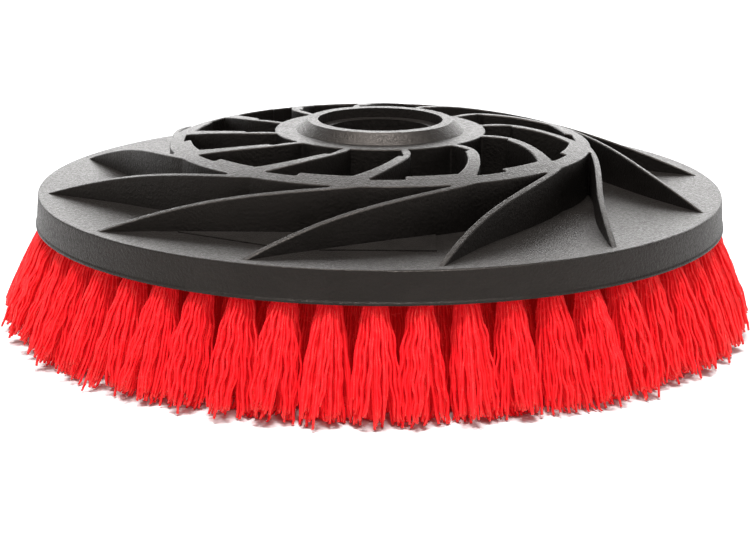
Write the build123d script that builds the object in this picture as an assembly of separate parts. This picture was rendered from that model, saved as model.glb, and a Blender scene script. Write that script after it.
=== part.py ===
from build123d import *
import os
from math import atan2, cos, degrees, radians, sin

# Rotary disc brush: one black injection-moulded plate with a swept rib pattern and a stepped hub, and rings
# of crimped-filament tufts held in blind holes by flat wire anchors. Millimetres, +Z up along the spin axis,
# origin on that axis at the level of the bristle tips.

# ---- driving dimensions --------------------------------------------------------------------------------
PLATE_RADIUS = 120.0        # top edge of the rim
PLATE_THICKNESS = 10.8
RIM_DRAFT = 0.7             # the rim is this much larger at its foot
RIM_ROUND = 0.5
LIP_PROUD = 0.35            # a thin lip round the foot of the rim
LIP_HEIGHT = 0.6
BRISTLE_REACH = 35.3        # free height of the bristles below the plate
UNDERSIDE = BRISTLE_REACH
DECK = UNDERSIDE + PLATE_THICKNESS

RIB_COUNT = 12              # fins outside the ring, and spokes inside it
PITCH = 360 / RIB_COUNT
FIN_TIP_ANGLE = 10.0        # the first fin's tip, anticlockwise from +X
FIN_THICKNESS = 2.1

RING_OUTER = 74.0
RING_INNER = 68.8           # where the ring is thin
RING_STEPPED = 66.4         # where it is stepped in
STEP_FROM = 7.3             # angles of the stepped stretch, the same in every pitch
STEP_TO = 27.0

PAD_REACH = 96.9            # shallow three-cornered pad on the deck between two fins: its straight outer edge
PAD_HEIGHT = 0.45
PAD_LEFT = -18.0            # ends of that edge, across a line from the axis at PAD_ANGLE from the fin's tip
PAD_RIGHT = 18.3
PAD_ROOT = 75.5             # where its side edge meets the fin
PAD_ANGLE = 20.0
PAD_CELLS = (7, 8)          # the two spaces between fins that have one

FLANGE_RADIUS = 37.1
FLANGE_HEIGHT = 19.8        # above the deck
FLANGE_THICKNESS = 3.6
COLLAR_FOOT = 29.6
COLLAR_RADIUS = 25.6
COLLAR_HEIGHT = 23.4
BORE_RADIUS = 17.8
SEAT_RADIUS = 22.0          # counterbore at the top of the hub
SEAT_DEPTH = 3.4
CORE_INNER = 22.0           # annular core under the flange, open at the underside
CORE_OUTER = 34.0

CORNER_ROUND = 0.8          # rib corners in plan
CREASE_ROUND = 0.25         # the same where two ribs run together at less than CREASE_ANGLE
CREASE_ANGLE = 60.0
BLEND_ROUND = 4.0           # the same where they meet at more than BLEND_ANGLE, almost in line
BLEND_ANGLE = 150.0
EDGE_ROUND = 0.5            # soft moulded edge on top of the ribs
RIB_FOOT = 2.7              # how far the ribs run down into the plate before they are joined

TUFT_RADIUS = 3.45
HOLE_RADIUS = 3.5
HOLE_DEPTH = 7.2
TUFT_DEPTH = 7.0
ANCHOR_WIDTH = 8.2
ANCHOR_HEIGHT = 2.4
ANCHOR_THICKNESS = 0.5
ANCHOR_DEPTH = 3.6          # from the mouth of the hole to the anchor's lower edge
SLOT_CLEARANCE = 0.02       # around the anchor, inside the tuft
FLARE_START = 1.4           # below the mouth of the hole
OVERREACH = 1.3             # a leaning tuft is made this much longer before it is trimmed level

# Each row of tufts: radius at the underside, count, outward lean in degrees, radius of a tuft at the floor.
TUFT_ROWS = [
    (114.6, 52, 19.0, 6.9),
    (104.0, 52, 13.5, 6.3),
    (93.0, 44, 9.0, 6.2),
    (82.0, 40, 5.0, 6.0),
    (71.0, 32, 2.0, 6.0),
    (60.0, 28, 0.0, 5.8),
]
FIRST_TUFT_ANGLE = 269.8
QUADRANTS = 4


# ---- helpers -------------------------------------------------------------------------------------------
def polar(radius, degrees):
    """A plan point at a radius and an angle anticlockwise from +X."""
    return (radius * cos(radians(degrees)), radius * sin(radians(degrees)))


def curve(points, turn=0.0):
    """A smooth edge in plan through (radius, angle) points, turned about the axis."""
    return Spline(*[polar(radius, angle + turn) for radius, angle in points])


def beside(edge, distance, spans=8):
    """A smooth edge on the left of another one, this far away, run the other way."""
    points = []
    for i in range(spans, -1, -1):
        tangent = edge % (i / spans)
        points.append(edge @ (i / spans) + Vector(-tangent.Y, tangent.X, 0) * distance)
    return Spline(*points)


def outline_face(*edges):
    """A plan face whose outline is these edges in order, with straight lines across any gaps."""
    loop = []
    for edge, following in zip(edges, edges[1:] + edges[:1]):
        loop.append(edge)
        if (edge @ 1 - following @ 0).length > 1e-6:
            loop.append(Line(edge @ 1, following @ 0))
    return make_face(Wire(loop))


def sector(outer, inner, start, stop):
    """A plan face between two radii and two angles."""
    a, b = (outer, start), (outer, stop)
    middle = (start + stop) / 2
    far = ThreePointArc(polar(*a), polar(outer, middle), polar(*b))
    near = ThreePointArc(polar(inner, stop), polar(inner, middle), polar(inner, start))
    return outline_face(far, near)


def corner_key(corner):
    """A corner's distance from the axis and its angle within one pitch, the same for matching corners."""
    return (round(corner.center().length, 1), round(degrees(atan2(corner.Y, corner.X)) % PITCH, 1))


def corner_radius(face, corner):
    """How far to round a plan corner, from the angle between the two edges that meet there."""
    point = Vector(corner)
    away = []
    for edge in face.edges():
        if (edge @ 0 - point).length < 1e-4:
            away.append(edge % 0)
        elif (edge @ 1 - point).length < 1e-4:
            away.append((edge % 1) * -1)
    angle = away[0].get_angle(away[1])
    if angle < CREASE_ANGLE:
        return CREASE_ROUND
    return BLEND_ROUND if angle > BLEND_ANGLE else CORNER_ROUND


def round_corners(face):
    """Round every corner of a plan face, one set of matching corners at a time."""
    for key in sorted({corner_key(corner) for corner in face.vertices()}):
        matching = [corner for corner in face.vertices() if corner_key(corner) == key]
        face = face.fillet_2d(corner_radius(face, matching[0]), matching)
    return face


# ---- brush plate ---------------------------------------------------------------------------------------
def fin_face():
    """One fin in plan. It leaves the ring at a tangent and sweeps out clockwise to its tip."""
    tip_half = [(118.6, -0.7), (103.4, 5.5), (94.8, 10.8), (87.9, 17.3)]
    root_half = [(82.6, 24.8), (78.5, 33.0), (75.9, 40.0), (73.6, 46.5)]
    outward_side = curve(tip_half + root_half, FIN_TIP_ANGLE)
    inward_side = beside(outward_side, FIN_THICKNESS)
    return outline_face(outward_side, inward_side)


def spoke_face():
    """One spoke in plan, from the hub flange to the ring, thin at the hub and stepping to its full width."""
    outer_side = curve([(35.6, 14.6), (43.0, 14.2), (49.0, 11.6), (54.2, 8.0), (62.0, 2.3), (71.2, -4.2)])
    thin_side = curve([(47.2, 9.8), (41.5, 10.4), (35.6, 11.4)])
    full_side = curve([(69.2, -10.4), (62.4, -3.6), (56.4, 1.2), (51.4, 4.6), (47.5, 7.2)])
    return outline_face(outer_side, full_side, thin_side)


def rib_plan():
    """The whole rib pattern in plan: ring, hub flange, spokes and fins."""
    plan = Circle(RING_OUTER) - Circle(RING_INNER) + Circle(FLANGE_RADIUS)
    step = sector(RING_INNER + 0.5, RING_STEPPED, STEP_FROM, STEP_TO)
    fin = fin_face()
    spoke = spoke_face()
    for i in range(RIB_COUNT):
        turn = Rot(0, 0, i * PITCH)
        plan = plan + turn * fin + turn * spoke + turn * step
    return round_corners(plan.faces()[0])


def dome():
    """The body of revolution that the rib tops lie on."""
    foot = DECK - 2 * RIB_FOOT
    flange_top = DECK + FLANGE_HEIGHT
    crown = Line((0, flange_top), (FLANGE_RADIUS, flange_top))
    shoulder = Spline(
        (FLANGE_RADIUS, flange_top),
        (RING_OUTER, DECK + 15.2),
        (93.6, DECK + 8.7),
        (115.8, DECK + 0.3),
        (124.0, DECK - 3.3),
    )
    skirt = Polyline((124.0, DECK - 3.3), (124.0, foot), (0, foot), (0, flange_top))
    return revolve(Plane.XZ * make_face(Wire([crown, shoulder] + list(skirt.edges()))), Axis.Z)


def is_top_edge(edge):
    """Whether an edge of the rib walls lies along their top, and not at their foot or up a corner."""
    upright = (edge @ 0 - edge @ 1).cross(Vector(0, 0, 1)).length < 1e-3
    return edge.center().Z > DECK - RIB_FOOT + 0.1 and not upright


def ribs():
    """Ring, flange, spokes and fins, cut to the dome, with a soft top edge."""
    height = FLANGE_HEIGHT + RIB_FOOT + 1
    walls = extrude(Pos(0, 0, DECK - RIB_FOOT) * rib_plan(), height)
    domed = (walls & dome()).solids()[0]
    return domed.fillet(EDGE_ROUND, [edge for edge in domed.edges() if is_top_edge(edge)])


def disc():
    """The plain round plate with its drafted rim, rounded at the top edge, and a thin lip round its foot."""
    foot_radius = PLATE_RADIUS + RIM_DRAFT
    profile = Polyline(
        (0, UNDERSIDE),
        (foot_radius + LIP_PROUD, UNDERSIDE),
        (foot_radius + LIP_PROUD, UNDERSIDE + LIP_HEIGHT),
        (foot_radius, UNDERSIDE + 2 * LIP_HEIGHT),
        (PLATE_RADIUS, DECK),
        (0, DECK),
        (0, UNDERSIDE),
    )
    body = revolve(Plane.XZ * make_face(profile), Axis.Z)
    top_edge = body.edges().filter_by(GeomType.CIRCLE).group_by(Axis.Z)[-1]
    return fillet(top_edge, RIM_ROUND)


def deck_pads():
    """Two shallow raised pads on the deck between fins, whose long edge runs under the fin."""
    corners = [(PAD_REACH, PAD_LEFT), (PAD_REACH, PAD_RIGHT), (PAD_ROOT, PAD_RIGHT)]
    pad = make_face(Polyline(*corners, close=True))
    body = extrude(Pos(0, 0, DECK - 1) * pad, PAD_HEIGHT + 1)
    return [Rot(0, 0, FIN_TIP_ANGLE + PAD_ANGLE + i * PITCH) * body for i in PAD_CELLS]


def collar():
    """The chamfered collar that stands on the hub flange."""
    top = DECK + COLLAR_HEIGHT
    foot = DECK + FLANGE_HEIGHT
    profile = Polyline(
        (0, foot - 1),
        (COLLAR_FOOT, foot - 1),
        (COLLAR_FOOT, foot),
        (COLLAR_RADIUS, top),
        (0, top),
        close=True,
    )
    return revolve(Plane.XZ * make_face(profile), Axis.Z)


def hub_bore():
    """The stepped bore: a wide seat at the top and a narrower bore right through."""
    top = DECK + COLLAR_HEIGHT
    bore = Pos(0, 0, (top + UNDERSIDE) / 2) * Cylinder(BORE_RADIUS, top - UNDERSIDE + 2)
    seat = Pos(0, 0, top - SEAT_DEPTH / 2 + 1) * Cylinder(SEAT_RADIUS, SEAT_DEPTH + 2)
    return bore + seat


def hub_core():
    """The annular core that keeps the hub's walls thin, open at the underside."""
    top = DECK + FLANGE_HEIGHT - FLANGE_THICKNESS
    height = top - UNDERSIDE + 1
    ring = Cylinder(CORE_OUTER, height) - Cylinder(CORE_INNER, height)
    return Pos(0, 0, top - height / 2) * ring


# ---- tufts and anchors ---------------------------------------------------------------------------------
def row_places(row):
    """Where each tuft of a row is: frames at the mouth of its hole, with +Z up along the leaning hole."""
    radius, count, lean, _ = TUFT_ROWS[row]
    stagger = (row % 2) * 180 / count
    places = []
    for i in range(count):
        angle = FIRST_TUFT_ANGLE + stagger + i * 360 / count
        places.append(Rot(0, 0, angle) * Pos(radius, 0, UNDERSIDE) * Rot(0, -lean, 0))
    return places


def holes(row):
    """The blind holes of one row."""
    run_out = HOLE_RADIUS
    drill = Pos(0, 0, (HOLE_DEPTH - run_out) / 2) * Cylinder(HOLE_RADIUS, HOLE_DEPTH + run_out)
    return [place * drill for place in row_places(row)]


def anchor():
    """One flat wire anchor, lying across the hole near its bottom."""
    wire = Box(ANCHOR_THICKNESS, ANCHOR_WIDTH, ANCHOR_HEIGHT)
    return Pos(0, 0, ANCHOR_DEPTH + ANCHOR_HEIGHT / 2) * wire


def tuft(row):
    """One tuft: a straight root in the hole, flaring below it, slotted where the anchor crosses."""
    floor_radius = TUFT_ROWS[row][3]
    reach = BRISTLE_REACH * OVERREACH
    slope = (floor_radius - TUFT_RADIUS) / (BRISTLE_REACH - FLARE_START)
    profile = Polyline(
        (0, TUFT_DEPTH),
        (TUFT_RADIUS, TUFT_DEPTH),
        (TUFT_RADIUS, -FLARE_START),
        (TUFT_RADIUS + slope * (reach - FLARE_START), -reach),
        (0, -reach),
        (0, TUFT_DEPTH),
    )
    body = revolve(Plane.XZ * make_face(profile), Axis.Z)
    slot = Box(ANCHOR_THICKNESS + 2 * SLOT_CLEARANCE, ANCHOR_WIDTH + 2, ANCHOR_HEIGHT + 2 * SLOT_CLEARANCE)
    return body - Pos(0, 0, ANCHOR_DEPTH + ANCHOR_HEIGHT / 2) * slot


def row_tufts(row):
    """The tufts of one row, trimmed level at the floor."""
    blank = tuft(row)
    floor = Pos(0, 0, -50) * Box(400, 400, 100)
    count = TUFT_ROWS[row][1]
    first = row_places(row)[0] * blank - floor
    return [Rot(0, 0, i * 360 / count) * first for i in range(count)]


# ---- write one STEP for each sub-part ------------------------------------------------------------------
def brush_plate():
    """The whole moulding as one solid."""
    body = disc() + [ribs(), collar()] + deck_pads()
    cutters = [hub_bore(), hub_core()]
    for row in range(len(TUFT_ROWS)):
        cutters += holes(row)
    return body - cutters


def write(name, solids):
    """Write one sub-part, which may be a group of separate solids."""
    shape = solids[0] if len(solids) == 1 else Compound(children=list(solids))
    export_step(shape, f"parts/{name}.step")


def main():
    os.makedirs("parts", exist_ok=True)
    write("brush_plate", brush_plate().solids())
    for row in range(len(TUFT_ROWS)):
        tufts = row_tufts(row)
        share = len(tufts) // QUADRANTS
        for quadrant in range(QUADRANTS):
            part = tufts[quadrant * share : (quadrant + 1) * share]
            write(f"tuft_row_{row + 1}_quarter_{quadrant + 1}", part)
        write(f"anchors_row_{row + 1}", [place * anchor() for place in row_places(row)])


main()
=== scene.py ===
import math

import bpy
import numpy as np
from mathutils import Matrix, Vector


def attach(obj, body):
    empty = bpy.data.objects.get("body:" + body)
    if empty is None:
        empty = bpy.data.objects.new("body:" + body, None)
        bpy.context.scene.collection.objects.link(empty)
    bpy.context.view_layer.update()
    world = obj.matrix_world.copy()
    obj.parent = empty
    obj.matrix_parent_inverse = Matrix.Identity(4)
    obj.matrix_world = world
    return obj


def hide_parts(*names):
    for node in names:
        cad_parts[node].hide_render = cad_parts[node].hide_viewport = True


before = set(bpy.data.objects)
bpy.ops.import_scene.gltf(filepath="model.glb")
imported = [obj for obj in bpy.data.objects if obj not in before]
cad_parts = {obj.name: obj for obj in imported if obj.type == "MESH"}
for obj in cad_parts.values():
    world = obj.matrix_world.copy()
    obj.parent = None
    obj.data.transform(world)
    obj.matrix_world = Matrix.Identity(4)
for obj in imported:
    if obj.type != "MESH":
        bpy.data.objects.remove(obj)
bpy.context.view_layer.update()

# ---- sizes, in metres, that repeat the CAD model's -------------------------------------------------------
MM = 0.001
DECK = 46.1 * MM                 # the plate's top face
UNDERSIDE = 35.3 * MM            # its underside, where the bristles start
FLOOR_LEVEL = -0.6 * MM          # just under the bristle tips
FILAMENT_RADIUS = 0.43 * MM
CRIMP_LENGTH = 10.5 * MM         # one wave of the crimp
CRIMP_HEIGHT = 0.37 * MM         # from the middle of the wave to its top
ROOT_RADIUS = 3.05 * MM          # how far filament centres lie from a tuft's own axis, in its hole
ROOT_DEPTH = 4.0 * MM            # how far up the hole the filaments are modelled
FIRST_TUFT_ANGLE = 269.8
QUARTERS = 4
SEED = 20731

# Each row of tufts: radius at the underside, count, outward lean in degrees, filament spread at the floor,
# filaments in a tuft, segments along a filament and sides round it. Rows further in are seen less.
ROWS = [
    dict(radius=114.6, count=52, lean=19.0, spread=9.2, filaments=74, segments=20, sides=5),
    dict(radius=104.0, count=52, lean=13.5, spread=7.8, filaments=60, segments=18, sides=5),
    dict(radius=93.0, count=44, lean=9.0, spread=6.6, filaments=44, segments=16, sides=4),
    dict(radius=82.0, count=40, lean=5.0, spread=6.3, filaments=38, segments=14, sides=4),
    dict(radius=71.0, count=32, lean=2.0, spread=6.2, filaments=36, segments=12, sides=4),
    dict(radius=60.0, count=28, lean=0.0, spread=5.8, filaments=36, segments=12, sides=4),
]
WORN_LEAN = 1.8                  # degrees: the bristles are pushed over towards -X
TIP_RISE = 3.0 * MM              # how far above the floor tips end is this times the next two
RISE_AT_AXIS = 0.35
RISE_OUTWARD = 0.4               # added at the tuft's outer side and taken off at its inner side
GOLDEN_ANGLE = math.pi * (3 - math.sqrt(5))

# How the filaments bend on the way down, as powers of how far down they are.
FLARE_POWER = 0.78               # spreading out from the root
CLUMP_POWER = 4                  # drawing together near the tips
ASTRAY_POWER = 1.5

# How irregular the filaments are.
SPREAD_RANGE = (0.9, 1.08)       # a whole tuft's spread, as a share of its row's
ROOT_NOISE = 0.05 * MM
TIP_NOISE = 0.5 * MM             # one filament's tip
TUFT_NOISE = 0.7 * MM            # the tips of a whole tuft together
ASTRAY_SHARE = 0.05
ASTRAY_REACH = 2.4 * MM          # sideways
CLUMPS = 4                       # in a tuft
CLUMP_REACH = 0.85               # how far out the clumps lie, as a share of the spread
CLUMP_PULL = 0.42                # how nearly the tips reach the middle of their clump
CRIMP_TURN = 0.6                 # radians, between the planes that filaments are crimped in
CRIMP_SHIFT = 1.1                # radians, between the waves of filaments in one tuft
CRIMP_RANGE = (0.4, 1.3)         # of the crimp's height
LENGTH_NOISE = 1.1 * MM          # one filament's length
TUFT_LENGTH_NOISE = 0.5 * MM     # a whole tuft's
LONG_SHARE = 0.12
LONG_RANGE = (1.0, 3.5)          # millimetres
SHORT_SHARE = 0.10
SHORT_RANGE = (1.5, 5.0)         # millimetres


# ---- materials -------------------------------------------------------------------------------------------
class Shader:
    """A small helper for writing a node material."""

    def __init__(self, name):
        self.material = bpy.data.materials.new(name)
        self.material.use_nodes = True
        self.tree = self.material.node_tree
        self.surface = self.tree.nodes["Principled BSDF"]
        self.column = 0

    def node(self, kind, **inputs):
        """A new node with some of its inputs set."""
        new = self.tree.nodes.new("ShaderNode" + kind)
        self.column -= 180
        new.location = (self.column, 0)
        for name, value in inputs.items():
            new.inputs[name.replace("_", " ")].default_value = value
        return new

    def link(self, source, output, target, socket):
        self.tree.links.new(source.outputs[output], target.inputs[socket])

    def set(self, **values):
        """Set the surface's own sockets."""
        for name, value in values.items():
            self.surface.inputs[name.replace("_", " ")].default_value = value


def set_ramp(ramp, start, low, stop, high):
    """Set a colour ramp that goes from one colour to another between two positions."""
    for stop_point, position, colour in zip(ramp.color_ramp.elements, (start, stop), (low, high)):
        stop_point.position = position
        stop_point.color = colour


def ramp_between(shader, noise, low, high):
    """A colour ramp driven by a noise texture, whose values lie mostly between 0.3 and 0.7."""
    ramp = shader.node("ValToRGB")
    set_ramp(ramp, 0.3, low, 0.7, high)
    shader.link(noise, 0, ramp, 0)
    return ramp


def grey(value):
    """A neutral colour."""
    return (value, value, value, 1)


def black_plastic():
    """Satin black moulding with a fine grain and faint flow marks."""
    s = Shader("black_moulding")
    place = s.node("TexCoord")
    grain = s.node("TexNoise", Scale=1100.0, Detail=3.0, Roughness=0.7)
    flow = s.node("TexNoise", Scale=45.0, Detail=5.0, Roughness=0.6)
    for texture in (grain, flow):
        s.link(place, "Object", texture, "Vector")
    colour = ramp_between(s, flow, (0.0030, 0.0025, 0.0022, 1), (0.0075, 0.0065, 0.0058, 1))
    s.link(colour, "Color", s.surface, "Base Color")
    gloss = s.node("MapRange", From_Min=0.35, From_Max=0.65, To_Min=0.34, To_Max=0.54)
    s.link(grain, 0, gloss, 0)
    s.link(gloss, 0, s.surface, "Roughness")
    bump = s.node("Bump", Strength=0.6, Distance=0.0005)
    s.link(grain, 0, bump, "Height")
    s.link(bump, "Normal", s.surface, "Normal")
    s.set(IOR=1.5, Specular_IOR_Level=0.31, Specular_Tint=(1.0, 0.88, 0.80, 1))
    return s.material


def bristle_plastic(name, low, high, painted_glow):
    """Red filament with a painted glow: its own colour is also emitted, lifting the shade between
    filaments. A little different in colour from one to the next.
    """
    s = Shader(name)
    place = s.node("TexCoord")
    tone = s.node("TexNoise", Scale=420.0, Detail=2.0)
    s.link(place, "Object", tone, "Vector")
    colour = ramp_between(s, tone, low, high)
    s.link(colour, "Color", s.surface, "Base Color")
    gloss = s.node("MapRange", From_Min=0.3, From_Max=0.7, To_Min=0.16, To_Max=0.30)
    s.link(tone, 0, gloss, 0)
    s.link(gloss, 0, s.surface, "Roughness")
    # Painted glow: the filament colour is emitted too, so the shade between filaments is lifted.
    s.link(colour, "Color", s.surface, "Emission Color")
    s.set(IOR=1.5, Specular_Tint=(1.0, 0.55, 0.35, 1), Emission_Strength=painted_glow)
    return s.material


def anchor_steel():
    """Flat drawn wire, with fine lines along it."""
    s = Shader("anchor_wire")
    place = s.node("TexCoord")
    lines = s.node("TexNoise", Scale=1800.0, Detail=2.0)
    s.link(place, "Object", lines, "Vector")
    colour = ramp_between(s, lines, grey(0.42), grey(0.60))
    s.link(colour, "Color", s.surface, "Base Color")
    s.set(Metallic=1.0, Roughness=0.35)
    return s.material


# ---- bristles --------------------------------------------------------------------------------------------
def sunflower(count, radius):
    """Points spread evenly over a disc."""
    i = np.arange(count) + 0.5
    angle = i * GOLDEN_ANGLE
    reach = radius * np.sqrt(i / count)
    return np.stack([reach * np.cos(angle), reach * np.sin(angle)], -1)


def filament_lines(row, rng):
    """The centre lines of one tuft's filaments in the tuft's own frame, -Z down along its axis.

    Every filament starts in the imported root, spreads towards the floor, leans towards one of a few clumps
    near its tip, and carries the crimp, which is roughly in step across the tuft."""
    count = row["filaments"]
    segments = row["segments"]
    spread = row["spread"] * MM * rng.uniform(*SPREAD_RANGE)
    turn = rng.uniform(0, 2 * math.pi)
    spin = np.array([[math.cos(turn), -math.sin(turn)], [math.sin(turn), math.cos(turn)]])
    disc = sunflower(count, 1.0) @ spin
    root = disc * ROOT_RADIUS + rng.normal(0, ROOT_NOISE, (count, 2))
    tip = disc * spread + rng.normal(0, TIP_NOISE, (count, 2)) + rng.normal(0, TUFT_NOISE, (1, 2))
    astray = (rng.random(count) < ASTRAY_SHARE)[:, None] * rng.normal(0, ASTRAY_REACH, (count, 2))
    clumps = sunflower(CLUMPS, spread * CLUMP_REACH) @ spin
    gap = np.linalg.norm(tip[:, None] - clumps[None], axis=2)
    towards = clumps[gap.argmin(1)] - tip
    length = ROOT_DEPTH + UNDERSIDE / math.cos(math.radians(row["lean"]))
    t = np.linspace(0, 1, segments + 1)
    below = np.clip((t * length - ROOT_DEPTH) / (length - ROOT_DEPTH), 0, 1)
    line = root[:, None] + (tip - root)[:, None] * (below ** FLARE_POWER)[None, :, None]
    line = line + towards[:, None] * (CLUMP_PULL * below ** CLUMP_POWER)[None, :, None]
    line = line + astray[:, None] * (below ** ASTRAY_POWER)[None, :, None]
    direction = turn + rng.normal(0, CRIMP_TURN, count)
    phase = rng.uniform(0, 2 * math.pi) + rng.normal(0, CRIMP_SHIFT, count)
    height = CRIMP_HEIGHT * rng.uniform(*CRIMP_RANGE, count)
    along = t * length
    wave = np.sin(2 * math.pi * along[None] / CRIMP_LENGTH + phase[:, None]) * height[:, None]
    start_of_crimp = np.clip(below * 5, 0, 1)
    wave = wave * start_of_crimp[None]
    line[:, :, 0] += wave * np.cos(direction)[:, None]
    line[:, :, 1] += wave * np.sin(direction)[:, None]
    return line, along


def tuft_mesh(row, rng):
    """Vertices of one tuft in its own frame, before it is placed. +X is the tuft's outer side."""
    line, along = filament_lines(row, rng)
    count, rings, _ = line.shape
    sides = row["sides"]
    outward = line[:, -1, 0] / (row["spread"] * MM)
    uneven = rng.normal(0, LENGTH_NOISE, count) + rng.normal(0, TUFT_LENGTH_NOISE)
    stray = (rng.random(count) < LONG_SHARE) * rng.uniform(*LONG_RANGE, count) * MM
    short = (rng.random(count) < SHORT_SHARE) * rng.uniform(*SHORT_RANGE, count) * MM
    end = along[-1] - TIP_RISE * (RISE_AT_AXIS + RISE_OUTWARD * outward) + uneven + stray - short
    depth = ROOT_DEPTH - along[None] * (end / along[-1])[:, None]
    angle = np.arange(sides) * 2 * math.pi / sides
    ring = np.stack([np.cos(angle), np.sin(angle), np.zeros(sides)], -1) * FILAMENT_RADIUS
    centre = np.concatenate([line, depth[:, :, None]], -1)
    points = centre[:, :, None] + ring[None, None]
    return points.reshape(-1, 3), count, rings, sides


def tube_faces(count, rings, sides):
    """Quads along each tube and a cap at both ends."""
    a = np.arange(sides)
    b = (a + 1) % sides
    first = (np.arange(rings - 1) * sides)[:, None]
    quads = np.stack([first + a, first + b, first + sides + b, first + sides + a], -1).reshape(-1, 4)
    start = np.arange(count) * rings * sides
    walls = (start[:, None, None] + quads[None]).reshape(-1, 4)
    top = start[:, None] + a[::-1][None]
    bottom = start[:, None] + (rings - 1) * sides + a[None]
    return walls, np.concatenate([top, bottom])


def mesh_from(name, vertices, quads, caps):
    """A mesh from numpy arrays of quads and of cap polygons."""
    mesh = bpy.data.meshes.new(name)
    mesh.vertices.add(len(vertices))
    mesh.vertices.foreach_set("co", vertices.astype(np.float32).ravel())
    corners = np.concatenate([quads.ravel(), caps.ravel()])
    sizes = np.concatenate([np.full(len(quads), 4), np.full(len(caps), caps.shape[1])])
    mesh.loops.add(len(corners))
    mesh.loops.foreach_set("vertex_index", corners.astype(np.int32))
    mesh.polygons.add(len(sizes))
    starts = np.concatenate([[0], np.cumsum(sizes)[:-1]])
    mesh.polygons.foreach_set("loop_start", starts.astype(np.int32))
    smooth = np.concatenate([np.ones(len(quads), bool), np.zeros(len(caps), bool)])
    mesh.polygons.foreach_set("use_smooth", smooth)
    mesh.update(calc_edges=True)
    mesh.validate()
    return mesh


def tuft_places(row_number):
    """The frame of each tuft in a row: at the mouth of its hole, +Z up along the bristles."""
    row = ROWS[row_number]
    stagger = (row_number % 2) * 180 / row["count"]
    for i in range(row["count"]):
        around = math.radians(FIRST_TUFT_ANGLE + stagger + i * 360 / row["count"])
        turn = Matrix.Rotation(around, 4, "Z")
        out = Matrix.Translation((row["radius"] * MM, 0, UNDERSIDE))
        lean = Matrix.Rotation(-math.radians(row["lean"] - WORN_LEAN * math.cos(around)), 4, "Y")
        yield turn @ out @ lean


def bristles(row_number, quarter, material):
    """One quarter of one row of tufts, as one mesh of separate closed filaments."""
    row = ROWS[row_number]
    rng = np.random.default_rng(SEED + 10 * row_number + quarter)
    share = row["count"] // QUARTERS
    places = list(tuft_places(row_number))[quarter * share : (quarter + 1) * share]
    vertices, walls, caps = [], [], []
    used = 0
    for place in places:
        points, count, rings, sides = tuft_mesh(row, rng)
        tilt = np.array(place)
        world = points @ tilt[:3, :3].T + tilt[:3, 3]
        quads, ends = tube_faces(count, rings, sides)
        vertices.append(world)
        walls.append(quads + used)
        caps.append(ends + used)
        used += len(points)
    vertices = np.concatenate(vertices)
    vertices[:, 2] = np.maximum(vertices[:, 2], 0.0)
    name = f"bristles_row_{row_number + 1}_quarter_{quarter + 1}"
    mesh = mesh_from(name, vertices, np.concatenate(walls), np.concatenate(caps))
    mesh.materials.append(material)
    piece = bpy.data.objects.new(name, mesh)
    bpy.context.scene.collection.objects.link(piece)
    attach(piece, "root")
    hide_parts(f"tuft_row_{row_number + 1}_quarter_{quarter + 1}")


# ---- stage: floor, light and camera ----------------------------------------------------------------------
def floor():
    """A round pale floor, just under the bristle tips."""
    mesh = bpy.data.meshes.new("floor")
    reach = 1.9
    sides = 96
    turns = [2 * math.pi * i / sides for i in range(sides)]
    rim = [(reach * math.cos(turn), reach * math.sin(turn), FLOOR_LEVEL) for turn in turns]
    mesh.from_pydata(rim, [], [tuple(range(sides))])
    s = Shader("floor")
    s.set(Base_Color=grey(0.60), Roughness=0.9)
    mesh.materials.append(s.material)
    plane = bpy.data.objects.new("floor", mesh)
    bpy.context.scene.collection.objects.link(plane)


def studio_world():
    """A white studio, palest at the horizon."""
    world = bpy.data.worlds.new("studio")
    world.use_nodes = True
    tree = world.node_tree
    place = tree.nodes.new("ShaderNodeTexCoord")
    direction = tree.nodes.new("ShaderNodeSeparateXYZ")
    fade = tree.nodes.new("ShaderNodeValToRGB")
    set_ramp(fade, 0.10, grey(0.80), 0.40, grey(0.17))
    tree.links.new(place.outputs["Generated"], direction.inputs["Vector"])
    tree.links.new(direction.outputs["Z"], fade.inputs["Fac"])
    tree.links.new(fade.outputs["Color"], tree.nodes["Background"].inputs["Color"])
    bpy.context.scene.world = world


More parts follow.
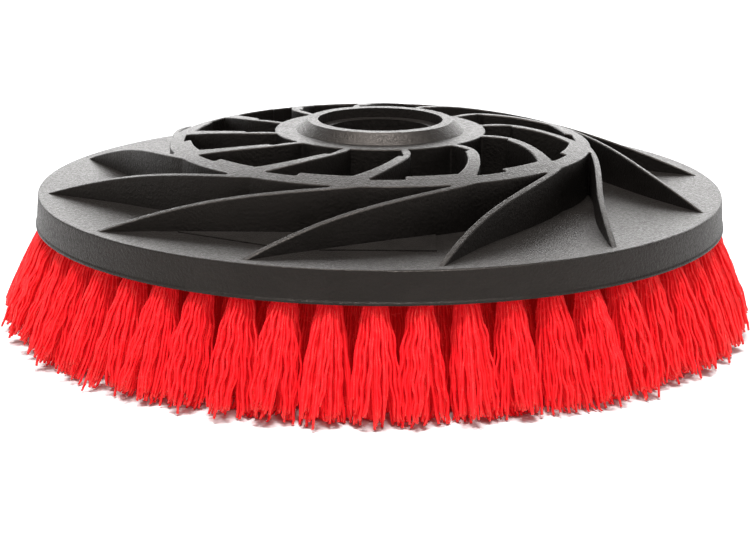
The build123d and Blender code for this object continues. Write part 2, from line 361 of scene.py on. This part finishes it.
def area_light(name, width, height, power, place):
    """A soft box, turned towards the middle of the brush."""
    aim = Vector((0, 0, 0.03))
    light = bpy.data.lights.new(name, "AREA")
    light.shape = "RECTANGLE"
    light.size = width
    light.size_y = height
    light.energy = power
    lamp = bpy.data.objects.new(name, light)
    lamp.location = place
    lamp.rotation_euler = (aim - Vector(place)).to_track_quat("-Z", "Y").to_euler()
    bpy.context.scene.collection.objects.link(lamp)


def camera():
    """The camera stands a little above the plate, in front of it, and looks slightly down."""
    place = Vector((0.0041, -0.6993, DECK + 0.1536))
    pitch = 0.2615
    yaw = -0.0080
    roll = 0.0063
    ahead = Vector((math.sin(yaw) * math.cos(pitch), math.cos(yaw) * math.cos(pitch), -math.sin(pitch)))
    right = Vector((math.cos(yaw), -math.sin(yaw), 0))
    up = right.cross(ahead)
    rolled_right = right * math.cos(roll) + up * math.sin(roll)
    rolled_up = up * math.cos(roll) - right * math.sin(roll)
    data = bpy.data.cameras.new("camera")
    data.sensor_width = 36.0
    data.lens = 96.6
    data.clip_start = 0.01
    view = bpy.data.objects.new("camera", data)
    turn = Matrix((rolled_right, rolled_up, -ahead)).transposed()
    view.matrix_world = Matrix.Translation(place) @ turn.to_4x4()
    bpy.context.scene.collection.objects.link(view)
    bpy.context.scene.camera = view


# ---- put it together -------------------------------------------------------------------------------------
camera()
studio_world()
floor()
area_light("overhead", 0.8, 0.5, 66.0, (-0.1, -0.3, 1.7))
area_light("behind", 3.0, 1.2, 62.0, (0.0, 2.3, 0.85))
area_light("left", 0.8, 0.8, 3.0, (-2.0, -0.3, 0.8))
area_light("right", 0.8, 0.8, 3.0, (2.0, -0.3, 0.8))
area_light("front", 0.6, 0.5, 7.0, (0.3, -1.5, 1.5))

plate_finish = black_plastic()
anchor_finish = anchor_steel()
# Lit and shaded copies of one red. The outer row has the stronger painted glow. The inner rows are painted
# darker, with less glow, as painted shade for the rows behind the outer one.
outer_red_painted_glow = bristle_plastic("bristle_outer", (0.72, 0.009, 0.015, 1), (0.83, 0.018, 0.024, 1), 0.14)
inner_red_painted_shade = bristle_plastic("bristle_inner", (0.62, 0.006, 0.010, 1), (0.74, 0.012, 0.016, 1), 0.08)

for node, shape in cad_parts.items():
    finish = plate_finish if node == "brush_plate" else anchor_finish
    for socket in shape.material_slots:
        socket.material = finish

for row_number in range(len(ROWS)):
    for quarter in range(QUARTERS):
        bristles(row_number, quarter, outer_red_painted_glow if row_number == 0 else inner_red_painted_shade)

bpy.context.scene.view_settings.view_transform = "Standard"
